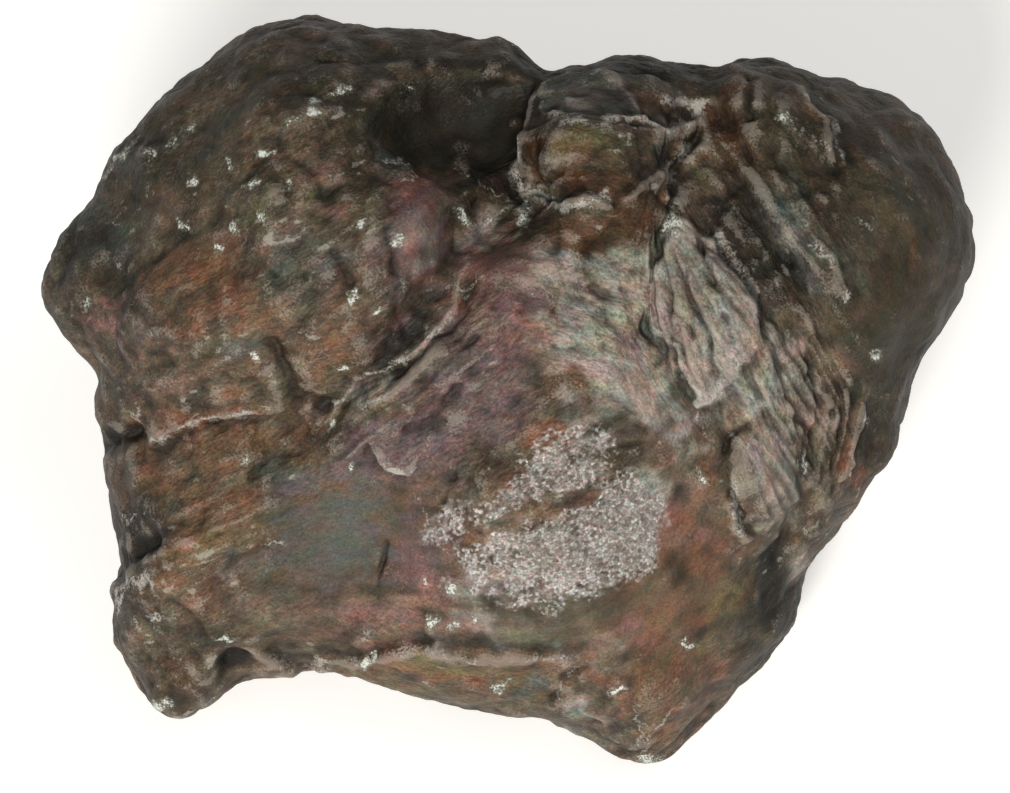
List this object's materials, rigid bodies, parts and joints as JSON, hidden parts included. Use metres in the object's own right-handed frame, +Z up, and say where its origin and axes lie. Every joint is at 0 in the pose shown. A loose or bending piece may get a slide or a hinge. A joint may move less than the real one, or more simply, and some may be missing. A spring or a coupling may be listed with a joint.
{
  "type": "meteorite",
  "caption": "Irregular weathered stony meteorite with rounded lobes, a slanting folded ridge, a fluted wedge and a flattened underside to rest on.",
  "frame": {"origin": "middle of the stone's length and breadth, on the ground under its flat resting face", "axes": "+X along the stone's length, +Y away from its broad face, +Z up"},
  "size_m": [0.1382, 0.1008, 0.0746],
  "materials": {
    "weathered_stone": "weathered dark olive, purple-brown and rust stone with pale worn edges and a bright grainy patch"
  },
  "bodies": {
    "root": {"meteorite": "weathered_stone"}
  },
  "joints": []
}
